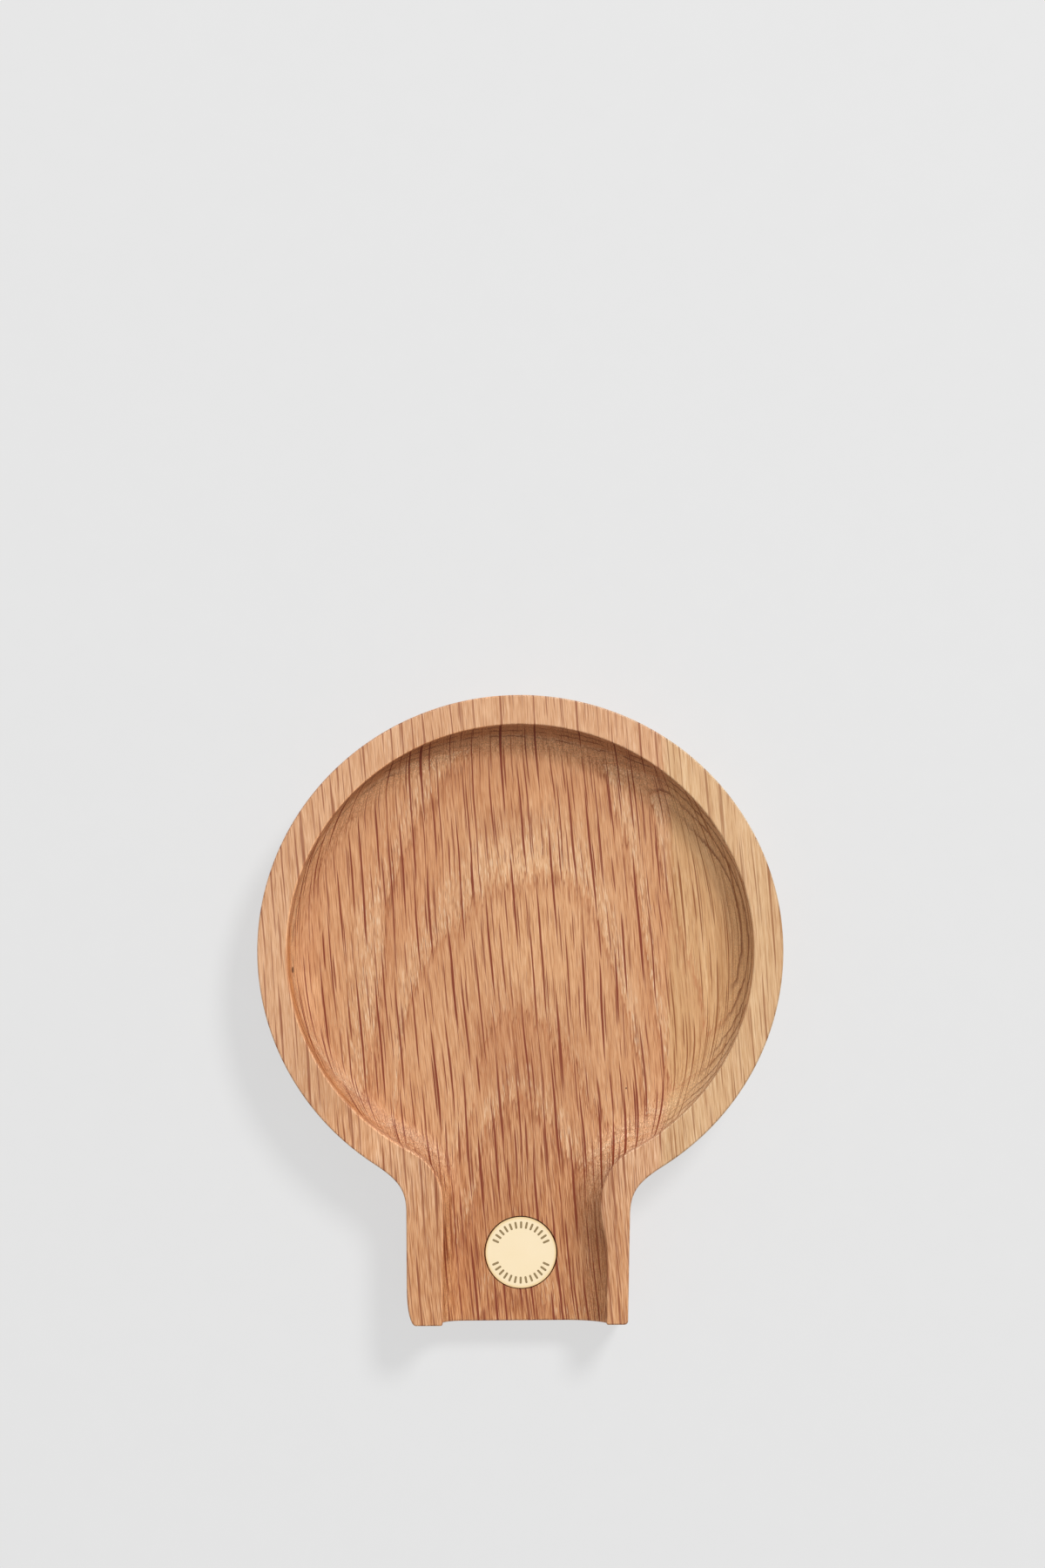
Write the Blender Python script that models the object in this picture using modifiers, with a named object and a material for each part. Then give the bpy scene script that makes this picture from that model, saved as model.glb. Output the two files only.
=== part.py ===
"""Spoon rest: a solid oak rest with a round bowl, a short neck whose channel runs out at the
front, and a brass disc let into the channel floor.

Metres, +Z up. The origin is on the table, under the middle of the overall length and width.
The neck points along -Y and the bowl along +Y, as it lies in front of the cook.
"""

import math

import bmesh
import bpy

# The board that the rest is sawn from, and how far its edges are rounded over.
BOARD_THICKNESS = 0.018
EDGE_ROUND = 0.0005

# The round head, very slightly wider than it is long.
HEAD_WIDTH = 0.1204
HEAD_LENGTH = 0.1172

# The neck stands out this far beyond the head's oval. In the soft inside corner its side runs
# out into the head: the corner reaches out along the head, drops down the neck, and is drawn
# this full.
NECK_LENGTH = 0.0274
NECK_WIDTH = 0.0512
NECK_END_WIDTH = 0.0507
SHOULDER_REACH = 0.0075
SHOULDER_DROP = 0.0068
SHOULDER_FULLNESS_SHARE = 0.8

# The two plan corners at the neck's end, the left one sanded rounder than the right.
LEFT_CORNER_RADIUS = 0.0028
RIGHT_CORNER_RADIUS = 0.0009

# The routed recess: bowl and channel have one flat floor and one cove all round. Where the
# channel opens into the bowl, its corners are softer than the shoulders outside.
RIM_WIDTH = 0.0068
RECESS_DEPTH = 0.009
COVE_RADIUS = 0.007
MOUTH_REACH = 0.0072
MOUTH_DROP = 0.009
MOUTH_FULLNESS_SHARE = 0.65

# Channel walls, from the centre line of the neck. Below the mouth the right wall steps out a
# little, over this length, where it was sanded wider.
CHANNEL_LEFT = 0.0171
CHANNEL_RIGHT = 0.0188
SANDED_STEP = 0.0016
SANDED_STEP_LENGTH = 0.011

# The brass disc, in its pocket in the channel floor.
DISC_DIAMETER = 0.0165
DISC_THICKNESS = 0.002
DISC_EDGE_ROUND = 0.0003
DISC_FROM_END = 0.0161
DISC_OFF_CENTRE = 0.0007
DISC_STANDS_PROUD = 0.0001

# The bonding film that holds the disc down.
FILM_THICKNESS = 0.0003
FILM_MARGIN = 0.0008

CLEARANCE = 0.0003
CUT_OVERRUN = 0.004
WELD_DISTANCE = 0.000003

# How finely round shapes are divided.
HEAD_STEPS = 84
SHOULDER_STEPS = 10
CORNER_STEPS = 5
STEP_STEPS = 8
COVE_RESOLUTION = 5
EDGE_RESOLUTION = 1
DISC_STEPS = 64
EDGE_SEGMENTS = 2

FLOOR_HEIGHT = BOARD_THICKNESS - RECESS_DEPTH
NECK_END = -(HEAD_LENGTH + NECK_LENGTH) / 2
HEAD_CENTRE = NECK_LENGTH / 2
DISC_CENTRE = (DISC_OFF_CENTRE, NECK_END + DISC_FROM_END)
DISC_TOP = FLOOR_HEIGHT + DISC_STANDS_PROUD
DISC_BOTTOM = DISC_TOP - DISC_THICKNESS
FILM_TOP = DISC_BOTTOM - CLEARANCE
POCKET_BOTTOM = FILM_TOP - FILM_THICKNESS - CLEARANCE

OAK = ((0.60, 0.34, 0.17, 1.0), 0.55, 0.0)
BRASS = ((0.93, 0.76, 0.48, 1.0), 0.28, 1.0)
FILM = ((0.82, 0.80, 0.72, 1.0), 0.60, 0.0)


def clear_scene():
    for old in list(bpy.data.objects):
        bpy.data.objects.remove(old)


def new_collection(name):
    made = bpy.data.collections.new(name)
    bpy.context.scene.collection.children.link(made)
    return made


def new_material(name, finish):
    colour, roughness, metallic = finish
    made = bpy.data.materials.new(name)
    made.use_nodes = True
    made.diffuse_color = colour
    shader = made.node_tree.nodes["Principled BSDF"]
    shader.inputs["Base Color"].default_value = colour
    shader.inputs["Roughness"].default_value = roughness
    shader.inputs["Metallic"].default_value = metallic
    return made


def corner(semi_x, semi_y, wall, reach, drop, fullness):
    """The soft corner between a straight wall at this x and an elliptical head above it.

    Gives the angle on the ellipse where the corner ends, and its points from the wall up to
    there: a curve whose two handles point at the place where the wall and the head would meet.
    """
    angle = -math.acos((wall + reach) / semi_x)
    head_x, head_y = semi_x * math.cos(angle), semi_y * math.sin(angle)
    slope = -semi_y * math.cos(angle) / (semi_x * math.sin(angle))
    tip = (wall, head_y - slope * reach)
    start = (wall, tip[1] - drop)
    points = []
    for step in range(SHOULDER_STEPS):
        share = step / SHOULDER_STEPS
        weights = ((1 - share) ** 3, 3 * (1 - share) ** 2 * share, 3 * (1 - share) * share**2, share**3)
        point = []
        for low, middle, high in zip(start, tip, (head_x, head_y)):
            handles = (low, low + fullness * (middle - low), high + fullness * (middle - high), high)
            point.append(sum(weight * handle for weight, handle in zip(weights, handles)))
        points.append(tuple(point))
    return angle, points


def head_arc(semi_x, semi_y, start, stop):
    """Points on the head's ellipse, anticlockwise from one shoulder to the other."""
    points = []
    for step in range(HEAD_STEPS + 1):
        angle = start + (stop - start) * step / HEAD_STEPS
        points.append((semi_x * math.cos(angle), semi_y * math.sin(angle)))
    return points


def end_corner(radius):
    """The right plan corner of the neck's end, from the end face up to the side."""
    points = []
    for step in range(CORNER_STEPS + 1):
        angle = math.pi / 2 * step / CORNER_STEPS
        points.append((
            NECK_END_WIDTH / 2 - radius * (1 - math.sin(angle)),
            NECK_END + radius * (1 - math.cos(angle)),
        ))
    return points


def body_outline():
    """The whole plan of the rest, anticlockwise from the right corner of the neck's end."""
    semi_x, semi_y = HEAD_WIDTH / 2, HEAD_LENGTH / 2
    angle, arc = corner(
        semi_x, semi_y, NECK_WIDTH / 2, SHOULDER_REACH, SHOULDER_DROP, SHOULDER_FULLNESS_SHARE
    )
    arc = [(x, y + HEAD_CENTRE) for x, y in arc]
    head = [(x, y + HEAD_CENTRE) for x, y in head_arc(semi_x, semi_y, angle, math.pi - angle)]
    right = end_corner(RIGHT_CORNER_RADIUS)
    left = mirrored(end_corner(LEFT_CORNER_RADIUS))
    return right + arc + head + mirrored(arc) + left


def mirrored(points):
    return [(-x, y) for x, y in reversed(points)]


def sanded_wall(mouth_start):
    """The right wall of the channel, from beyond the neck's end up to where the mouth starts."""
    points = [(CHANNEL_RIGHT + SANDED_STEP, NECK_END - channel_overrun())]
    for step in range(STEP_STEPS):
        share = step / STEP_STEPS
        eased = (1 + math.cos(math.pi * share)) / 2
        y = mouth_start - SANDED_STEP_LENGTH * (1 - share)
        points.append((CHANNEL_RIGHT + SANDED_STEP * eased, y))
    return points


def channel_overrun():
    """How far the cutter runs out of the neck's end: past its own rounded bottom edge."""
    return COVE_RADIUS + CUT_OVERRUN


def recess_outline():
    """The plan of the recess at the rim, with the channel run out past the neck's end."""
    semi_x, semi_y = HEAD_WIDTH / 2 - RIM_WIDTH, HEAD_LENGTH / 2 - RIM_WIDTH
    mouth = (MOUTH_REACH, MOUTH_DROP, MOUTH_FULLNESS_SHARE)
    right_angle, right_arc = corner(semi_x, semi_y, CHANNEL_RIGHT, *mouth)
    left_angle, left_arc = corner(semi_x, semi_y, CHANNEL_LEFT, *mouth)
    bowl = head_arc(semi_x, semi_y, right_angle, math.pi - left_angle)
    raised = [(x, y + HEAD_CENTRE) for x, y in right_arc + bowl + mirrored(left_arc)]
    left_end = (-CHANNEL_LEFT, NECK_END - channel_overrun())
    return sanded_wall(raised[0][1]) + raised + [left_end]


def plate(name, points, bottom, top, rounding, resolution):
    """A flat plate with this plan, whose edges are rounded all round, as a mesh object."""
    curve = bpy.data.curves.new(name, "CURVE")
    curve.dimensions = "2D"
    curve.fill_mode = "BOTH"
    curve.extrude = (top - bottom) / 2 - rounding
    curve.bevel_depth = rounding
    curve.bevel_resolution = resolution
    curve.offset = -rounding
    spline = curve.splines.new("POLY")
    spline.points.add(len(points) - 1)
    for point, (x, y) in zip(spline.points, points):
        point.co = (x, y, 0.0, 1.0)
    spline.use_cyclic_u = True
    drawn = bpy.data.objects.new(name + "_curve", curve)
    drawn.location.z = (top + bottom) / 2
    bpy.context.scene.collection.objects.link(drawn)
    bpy.context.view_layer.update()
    evaluated = drawn.evaluated_get(bpy.context.evaluated_depsgraph_get())
    made = bpy.data.objects.new(name, bpy.data.meshes.new_from_object(evaluated))
    made.matrix_world = drawn.matrix_world
    bpy.data.objects.remove(drawn)
    shape = bmesh.new()
    shape.from_mesh(made.data)
    bmesh.ops.remove_doubles(shape, verts=shape.verts, dist=WELD_DISTANCE)
    bmesh.ops.recalc_face_normals(shape, faces=shape.faces)
    shape.to_mesh(made.data)
    shape.free()
    return made


def disc(name, diameter, bottom, top):
    """A plain round disc over the middle of the pocket."""
    shape = bmesh.new()
    bmesh.ops.create_cone(
        shape,
        cap_ends=True,
        segments=DISC_STEPS,
        radius1=diameter / 2,
        radius2=diameter / 2,
        depth=top - bottom,
    )
    made = bpy.data.objects.new(name, bpy.data.meshes.new(name))
    shape.to_mesh(made.data)
    shape.free()
    made.location = (DISC_CENTRE[0], DISC_CENTRE[1], (top + bottom) / 2)
    return made


def cut(piece, cutter, cutters):
    """Takes the cutter's shape out of the piece, and puts the cutter away."""
    cutters.objects.link(cutter)
    cutter.hide_render = True
    cutter.display_type = "WIRE"
    modifier = piece.modifiers.new(cutter.name, "BOOLEAN")
    modifier.operation = "DIFFERENCE"
    modifier.solver = "EXACT"
    modifier.object = cutter


def smooth(piece):
    piece.data.shade_smooth()
    piece.data.set_sharp_from_angle(angle=math.radians(35))


def oak_body(parts, cutters):
    """The sawn and routed board, with the pocket for the disc."""
    body = plate("oak_body", body_outline(), 0.0, BOARD_THICKNESS, EDGE_ROUND, EDGE_RESOLUTION)
    parts.objects.link(body)
    body.data.materials.append(new_material("oiled_oak", OAK))
    recess_top = BOARD_THICKNESS + COVE_RADIUS + CUT_OVERRUN
    recess = plate(
        "recess_cutter", recess_outline(), FLOOR_HEIGHT, recess_top, COVE_RADIUS, COVE_RESOLUTION
    )
    cut(body, recess, cutters)
    pocket_width = DISC_DIAMETER + 2 * CLEARANCE
    pocket = disc("pocket_cutter", pocket_width, POCKET_BOTTOM, BOARD_THICKNESS + CUT_OVERRUN)
    cut(body, pocket, cutters)
    smooth(body)


def brass_disc(parts):
    """The inlaid disc, with its edges broken."""
    made = disc("brass_disc", DISC_DIAMETER, DISC_BOTTOM, DISC_TOP)
    parts.objects.link(made)
    made.data.materials.append(new_material("satin_brass", BRASS))
    rounding = made.modifiers.new("broken_edge", "BEVEL")
    rounding.width = DISC_EDGE_ROUND
    rounding.segments = EDGE_SEGMENTS
    rounding.limit_method = "ANGLE"
    smooth(made)


def bonding_film(parts):
    """The thin film under the disc, a little smaller than the disc."""
    diameter = DISC_DIAMETER - 2 * FILM_MARGIN
    made = disc("bonding_film", diameter, FILM_TOP - FILM_THICKNESS, FILM_TOP)
    parts.objects.link(made)
    made.data.materials.append(new_material("bonding_film", FILM))
    smooth(made)


def main():
    clear_scene()
    parts = new_collection("spoon_rest")
    cutters = new_collection("cutters")
    oak_body(parts, cutters)
    brass_disc(parts)
    bonding_film(parts)


main()
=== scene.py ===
import math

import bmesh
import bpy
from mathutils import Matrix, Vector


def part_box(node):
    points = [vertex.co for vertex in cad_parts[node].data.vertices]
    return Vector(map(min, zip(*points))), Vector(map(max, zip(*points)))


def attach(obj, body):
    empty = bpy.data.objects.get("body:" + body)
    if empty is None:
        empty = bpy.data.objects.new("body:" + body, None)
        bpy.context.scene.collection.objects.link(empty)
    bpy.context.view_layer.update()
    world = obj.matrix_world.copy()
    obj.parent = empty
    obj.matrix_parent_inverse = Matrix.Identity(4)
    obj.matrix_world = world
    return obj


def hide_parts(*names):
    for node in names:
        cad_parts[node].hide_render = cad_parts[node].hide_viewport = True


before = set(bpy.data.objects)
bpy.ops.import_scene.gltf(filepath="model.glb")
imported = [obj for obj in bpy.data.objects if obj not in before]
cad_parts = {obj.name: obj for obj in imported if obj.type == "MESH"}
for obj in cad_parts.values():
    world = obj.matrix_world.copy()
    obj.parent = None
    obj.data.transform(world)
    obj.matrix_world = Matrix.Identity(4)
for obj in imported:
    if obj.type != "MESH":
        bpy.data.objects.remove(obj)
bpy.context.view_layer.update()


# The oak body. One flat-sawn board, sawn to a round head with a short neck, then routed out to
# one flat floor with a cove all round, so that the channel runs out of the neck's end. The
# edges are sanded over by hand and the whole is finished with matt oil.
body_low, body_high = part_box("oak_body")
MM = 0.001

BOARD_TOP = body_high.z
FLOOR_HEIGHT = 9 * MM
HEAD_REACH_X = (body_high.x - body_low.x) / 2
HEAD_REACH_Y = 58.6 * MM
HEAD_CENTRE_Y = body_high.y - HEAD_REACH_Y
NECK_END_Y = body_low.y
RIM_WIDTH = 6.8 * MM
# An edge that turns by more than the first angle is sanded round. After that, a crease of more
# than the second angle still shows as a sharp line.
EDGE_ROUND = 0.45 * MM
EDGE_SEGMENTS = 5
ROUNDED_ANGLE = math.radians(50)
CREASE_ANGLE = math.radians(21)

# Plan corners: how far they reach out along the head, drop down the neck, and how full they are.
SHOULDER = (7.5 * MM, 6.8 * MM, 0.8)
MOUTH = (7.2 * MM, 9.0 * MM, 0.65)
NECK_HALF_WIDTH = 25.6 * MM
NECK_END_HALF_WIDTH = 25.35 * MM
RIGHT_CORNER_RADIUS = 0.9 * MM
LEFT_CORNER_RADIUS = 2.1 * MM
LEFT_CORNER_LENGTH = 8.5 * MM
# The neck's end was sawn a hair out of square: this much over its width.
END_SKEW = 0.75 * MM
END_SKEW_LENGTH = 9 * MM

# The channel lies a little off centre, and its right wall was sanded wider near the end.
CHANNEL_RIGHT = 18.8 * MM
CHANNEL_LEFT = 17.1 * MM
SANDED_STEP = 1.6 * MM
SANDED_STEP_LENGTH = 11 * MM

# The cove is wider and starts higher on the side where the cutter was pressed harder: this way.
COVE_WIDTH = 7.1 * MM
COVE_WIDTH_SWING = 2.5 * MM
WALL_DEPTH = 4.0 * MM
WALL_DEPTH_SWING = 1.0 * MM
HEAVY_SIDE = math.radians(20)

# How finely the outlines and the cove are drawn. The way into the recess is taken between the
# points this many steps before and after.
HEAD_STEPS = 240
CORNER_STEPS = 18
WALL_STEPS = 26
ARC_STEPS = 8
COVE_STEPS = 14
POCKET_STEPS = 128
WAY_STEPS = 2

# The pocket for the disc, in the channel floor.
DISC_X = 0.7 * MM
DISC_Y = NECK_END_Y + 16.1 * MM
POCKET_DIAMETER = 16.9 * MM
POCKET_BOTTOM = 6.2 * MM


def soft_corner(reach_x, reach_y, wall, shape):
    """The soft corner from a straight wall up to an oval head, and the angle where it ends."""
    reach, drop, fullness = shape
    angle = -math.acos((wall + reach) / reach_x)
    head = (reach_x * math.cos(angle), reach_y * math.sin(angle))
    slope = -reach_y * math.cos(angle) / (reach_x * math.sin(angle))
    tip = (wall, head[1] - slope * reach)
    start = (wall, tip[1] - drop)
    points = []
    for step in range(CORNER_STEPS):
        share = step / CORNER_STEPS
        weights = ((1 - share) ** 3, 3 * (1 - share) ** 2 * share, 3 * (1 - share) * share**2, share**3)
        point = []
        for low, middle, high in zip(start, tip, head):
            handles = (low, low + fullness * (middle - low), high + fullness * (middle - high), high)
            point.append(sum(weight * handle for weight, handle in zip(weights, handles)))
        points.append((point[0], point[1] + HEAD_CENTRE_Y))
    return points, angle


def oval(reach_x, reach_y, start, stop):
    points = []
    for step in range(HEAD_STEPS + 1):
        angle = start + (stop - start) * step / HEAD_STEPS
        points.append((reach_x * math.cos(angle), reach_y * math.sin(angle) + HEAD_CENTRE_Y))
    return points


def mirrored(points):
    return [(-x, y) for x, y in reversed(points)]


def channel_wall(wall, sanded, mouth_start):
    """A wall of the channel, from the neck's end up to just below the mouth."""
    points = []
    for step in range(WALL_STEPS):
        y = NECK_END_Y + (mouth_start - NECK_END_Y) * step / WALL_STEPS
        share = min(max((y - mouth_start) / SANDED_STEP_LENGTH + 1, 0), 1)
        points.append((wall + sanded * (1 + math.cos(math.pi * share)) / 2, y))
    return points


def neck_corner(radius, length):
    """The rounded plan corner at the neck's end, up to where the straight side starts."""
    points = []
    for step in range(ARC_STEPS + 1):
        turn = math.pi / 2 * step / ARC_STEPS
        x = NECK_END_HALF_WIDTH - radius * (1 - math.sin(turn))
        points.append((x, NECK_END_Y + length * (1 - math.cos(turn))))
    return points


def skewed(x, y):
    """How far a corner near the neck's end moves up, so that the end is a hair out of square."""
    share = min(max(1 - (y - NECK_END_Y) / END_SKEW_LENGTH, 0), 1)
    return END_SKEW * share * (x + NECK_END_HALF_WIDTH) / (2 * NECK_END_HALF_WIDTH)


def recess_edge():
    """The recess's edge at the rim, from the right of the neck's end round to its left."""
    reach_x, reach_y = HEAD_REACH_X - RIM_WIDTH, HEAD_REACH_Y - RIM_WIDTH
    right, right_angle = soft_corner(reach_x, reach_y, CHANNEL_RIGHT, MOUTH)
    left, left_angle = soft_corner(reach_x, reach_y, CHANNEL_LEFT, MOUTH)
    bowl = oval(reach_x, reach_y, right_angle, math.pi - left_angle)
    right_wall = channel_wall(CHANNEL_RIGHT, SANDED_STEP, right[0][1])
    left_wall = channel_wall(CHANNEL_LEFT, 0, left[0][1])
    return right_wall + right + bowl + mirrored(left) + mirrored(left_wall)


def outer_edge():
    """The outline of the whole rest, from the right of the neck's end round to its left."""
    right, angle = soft_corner(HEAD_REACH_X, HEAD_REACH_Y, NECK_HALF_WIDTH, SHOULDER)
    head = oval(HEAD_REACH_X, HEAD_REACH_Y, angle, math.pi - angle)
    right_corner = neck_corner(RIGHT_CORNER_RADIUS, RIGHT_CORNER_RADIUS)
    left_corner = neck_corner(LEFT_CORNER_RADIUS, LEFT_CORNER_LENGTH)
    return right_corner + right + head + mirrored(right) + mirrored(left_corner)


def inward_ways(points):
    """For each point on the recess's edge, the level direction that leads into the recess."""
    ways = []
    for place in range(len(points)):
        before = points[max(place - WAY_STEPS, 0)]
        after = points[min(place + WAY_STEPS, len(points) - 1)]
        along_x, along_y = after[0] - before[0], after[1] - before[1]
        length = math.hypot(along_x, along_y)
        ways.append((-along_y / length, along_x / length))
    ways[0] = ways[1] = (-1.0, 0.0)
    ways[-1] = ways[-2] = (1.0, 0.0)
    return ways


def section(point, way):
    """One cut through the recess's side: the rim's edge, the steep wall, the cove, the floor."""
    lean = way[0] * math.cos(HEAVY_SIDE) + way[1] * math.sin(HEAVY_SIDE)
    width = COVE_WIDTH - COVE_WIDTH_SWING * lean
    height = BOARD_TOP - FLOOR_HEIGHT - (WALL_DEPTH + WALL_DEPTH_SWING * lean)
    radius = (width**2 + height**2) / (2 * height)
    start = math.atan2(height - radius, -width)
    profile = [(0.0, BOARD_TOP)]
    for step in range(COVE_STEPS + 1):
        turn = start + (-math.pi / 2 - start) * step / COVE_STEPS
        inset = width + radius * math.cos(turn)
        profile.append((inset, FLOOR_HEIGHT + radius + radius * math.sin(turn)))
    return [(point[0] + way[0] * inset, point[1] + way[1] * inset, z) for inset, z in profile]


def corners(shape, points):
    return [shape.verts.new(point) for point in points]


def bridge(shape, first, second):
    """Faces between two rows of corners."""
    for place in range(len(first) - 1):
        shape.faces.new((first[place], first[place + 1], second[place + 1], second[place]))


def body_mesh():
    shape = bmesh.new()
    edge = recess_edge()
    sections = [corners(shape, section(*pair)) for pair in zip(edge, inward_ways(edge))]
    for first, second in zip(sections, sections[1:]):
        bridge(shape, first, second)
    outline = outer_edge()
    top = corners(shape, [(x, y, BOARD_TOP) for x, y in outline])
    bottom = corners(shape, [(x, y, 0.0) for x, y in outline])
    bridge(shape, top, bottom)
    rim = [row[0] for row in sections]
    floor = [row[-1] for row in sections]
    shape.faces.new(floor)
    shape.faces.new(rim + top[::-1])
    shape.faces.new(bottom)
    neck_end = [bottom[0], top[0]] + sections[0] + sections[-1][::-1] + [top[-1], bottom[-1]]
    shape.faces.new(neck_end)
    for corner in shape.verts:
        corner.co.y += skewed(corner.co.x, corner.co.y)
    bmesh.ops.recalc_face_normals(shape, faces=shape.faces)
    mesh = bpy.data.meshes.new("oak_body_mesh")
    shape.to_mesh(mesh)
    shape.free()
    return mesh


def shown(name, mesh):
    """A new object with this mesh, in the scene."""
    made = bpy.data.objects.new(name, mesh)
    bpy.context.scene.collection.objects.link(made)
    return made


def round_edges(piece, width, segments):
    rounding = piece.modifiers.new("sanded_edges", "BEVEL")
    rounding.width = width
    rounding.segments = segments
    rounding.limit_method = "ANGLE"
    rounding.angle_limit = ROUNDED_ANGLE
    rounding.use_clamp_overlap = False


def cut_out(piece, cutter, materials="INDEX"):
    """Cuts the cutter's shape out of the piece."""
    cutting = piece.modifiers.new("cut", "BOOLEAN")
    cutting.operation = "DIFFERENCE"
    cutting.solver = "EXACT"
    cutting.material_mode = materials
    cutting.object = cutter


def settle(piece, cutters):
    """Makes the modifiers' result the piece's own mesh, with clean shading, and clears the cutters."""
    bpy.context.view_layer.update()
    evaluated = piece.evaluated_get(bpy.context.evaluated_depsgraph_get())
    mesh = bpy.data.meshes.new_from_object(evaluated)
    piece.modifiers.clear()
    piece.data = mesh
    for cutter in cutters:
        bpy.data.objects.remove(cutter)
    mesh.shade_smooth()
    mesh.set_sharp_from_angle(angle=CREASE_ANGLE)
    weighting = piece.modifiers.new("even_shading", "WEIGHTED_NORMAL")
    weighting.keep_sharp = True


def turned_blank(name, diameter, bottom, top, steps):
    """A plain round blank on the disc's centre line."""
    shape = bmesh.new()
    radius = diameter / 2
    bmesh.ops.create_cone(
        shape, cap_ends=True, segments=steps, radius1=radius, radius2=radius, depth=top - bottom
    )
    mesh = bpy.data.meshes.new(name)
    bmesh.ops.translate(shape, verts=shape.verts, vec=(DISC_X, DISC_Y, (top + bottom) / 2))
    shape.to_mesh(mesh)
    shape.free()
    return shown(name, mesh)


oak_rest = shown("oak_rest", body_mesh())
round_edges(oak_rest, EDGE_ROUND, EDGE_SEGMENTS)
pocket = turned_blank("pocket", POCKET_DIAMETER, POCKET_BOTTOM, BOARD_TOP, POCKET_STEPS)
cut_out(oak_rest, pocket)
settle(oak_rest, [pocket])


def add_node(tree, kind, **settings):
    made = tree.nodes.new("ShaderNode" + kind)
    for name, value in settings.items():
        setattr(made, name, value)
    return made


def feed(tree, socket, value):
    """Wires an output into this socket, or sets the socket to a plain value."""
    if isinstance(value, bpy.types.NodeSocket):
        tree.links.new(value, socket)
    else:
        socket.default_value = value


def reckon(tree, operation, *values):
    made = add_node(tree, "Math", operation=operation)
    for socket, value in zip(made.inputs, values):
        feed(tree, socket, value)
    return made.outputs["Value"]


def product(tree, *values):
    """All of these multiplied together."""
    result = values[0]
    for value in values[1:]:
        result = reckon(tree, "MULTIPLY", result, value)
    return result


def opposite(tree, mask):
    return reckon(tree, "SUBTRACT", 1.0, mask)


def held_back(tree, value, mask, share):
    """The value, less this share of it where the mask is 1."""
    return reckon(tree, "MULTIPLY", value, reckon(tree, "MULTIPLY_ADD", mask, -share, 1.0))


def fade(tree, value, start, stop):
    """0 before start, 1 after stop, and a soft slope between them."""
    made = add_node(tree, "MapRange", interpolation_type="SMOOTHSTEP")
    for name, given in (("Value", value), ("From Min", start), ("From Max", stop)):
        feed(tree, made.inputs[name], given)
    return made.outputs["Result"]


def tint(tree, share, first, second, kind="MIX"):
    """Mixes two colours by a share."""
    made = add_node(tree, "Mix", data_type="RGBA", blend_type=kind)
    for socket, value in zip((made.inputs[0], made.inputs[6], made.inputs[7]), (share, first, second)):
        feed(tree, socket, value)
    return made.outputs[2]


def join(tree, x, y, z):
    made = add_node(tree, "CombineXYZ")
    for socket, value in zip(made.inputs, (x, y, z)):
        feed(tree, socket, value)
    return made.outputs["Vector"]


def swing(tree, value, reach):
    """Turns noise around 0.5 into a swing of this reach around 0."""
    return reckon(tree, "MULTIPLY", reckon(tree, "SUBTRACT", value, 0.5), 2 * reach)


def new_finish(name):
    """A new material, its node tree and its shader."""
    finish = bpy.data.materials.new(name)
    finish.use_nodes = True
    return finish, finish.node_tree, finish.node_tree.nodes["Principled BSDF"]


def place_in_mm(tree):
    """The place on the piece, in mm from the frame's origin."""
    in_mm = add_node(tree, "VectorMath", operation="SCALE")
    feed(tree, in_mm.inputs[0], add_node(tree, "TexCoord").outputs["Object"])
    in_mm.inputs["Scale"].default_value = 1 / MM
    return in_mm.outputs["Vector"]


def vary_roughness(tree, shader, noise, middle, reach):
    """A roughness that swings around this middle with the noise."""
    feed(tree, shader.inputs["Roughness"], reckon(tree, "ADD", swing(tree, noise, reach), middle))


def add_relief(tree, shader, height, strength, depth):
    """Fine relief, too shallow for the mesh."""
    relief = add_node(tree, "Bump")
    relief.inputs["Strength"].default_value = strength
    relief.inputs["Distance"].default_value = depth
    feed(tree, relief.inputs["Height"], height)
    feed(tree, shader.inputs["Normal"], relief.outputs["Normal"])


def new_group(name, inputs, outputs):
    """An empty shader group and its two end nodes. A default of three numbers makes a vector."""
    group = bpy.data.node_groups.new(name, "ShaderNodeTree")
    for label, default in inputs:
        kind = "NodeSocketVector" if isinstance(default, tuple) else "NodeSocketFloat"
        socket = group.interface.new_socket(label, in_out="INPUT", socket_type=kind)
        socket.default_value = default
    for label in outputs:
        group.interface.new_socket(label, in_out="OUTPUT", socket_type="NodeSocketFloat")
    return group, group.nodes.new("NodeGroupInput"), group.nodes.new("NodeGroupOutput")


# Clouds: soft noise around 0.5. The wood's streaks, the brushing on the brass and every stain
# are made of it.
clouds, given, out = new_group(
    "clouds",
    (("Place", (0, 0, 0)), ("Lumps Per Unit", (1, 1, 1)), ("Shift", (0, 0, 0)), ("Detail", 2)),
    ("Cloud",),
)
counted = add_node(clouds, "VectorMath", operation="MULTIPLY_ADD")
for socket, label in zip(counted.inputs, ("Place", "Lumps Per Unit", "Shift")):
    feed(clouds, socket, given.outputs[label])
noise = add_node(clouds, "TexNoise")
noise.inputs["Scale"].default_value = 1.0
feed(clouds, noise.inputs["Vector"], counted.outputs["Vector"])
feed(clouds, noise.inputs["Detail"], given.outputs["Detail"])
feed(clouds, out.inputs["Cloud"], noise.outputs["Fac"])

# A seed moves the noise this way, so that no two clouds are alike.
SEED_WAY = (1, 1.7, 2.3)


def shift(seed):
    return [seed * side for side in SEED_WAY]


def cloud(tree, place, size, seed, detail=2.0):
    """Soft noise around 0.5 whose lumps have this size."""
    made = add_node(tree, "Group", node_tree=clouds)
    feed(tree, made.inputs["Place"], place)
    made.inputs["Lumps Per Unit"].default_value = [1 / side for side in size]
    made.inputs["Shift"].default_value = shift(seed)
    made.inputs["Detail"].default_value = detail
    return made.outputs["Cloud"]


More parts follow.
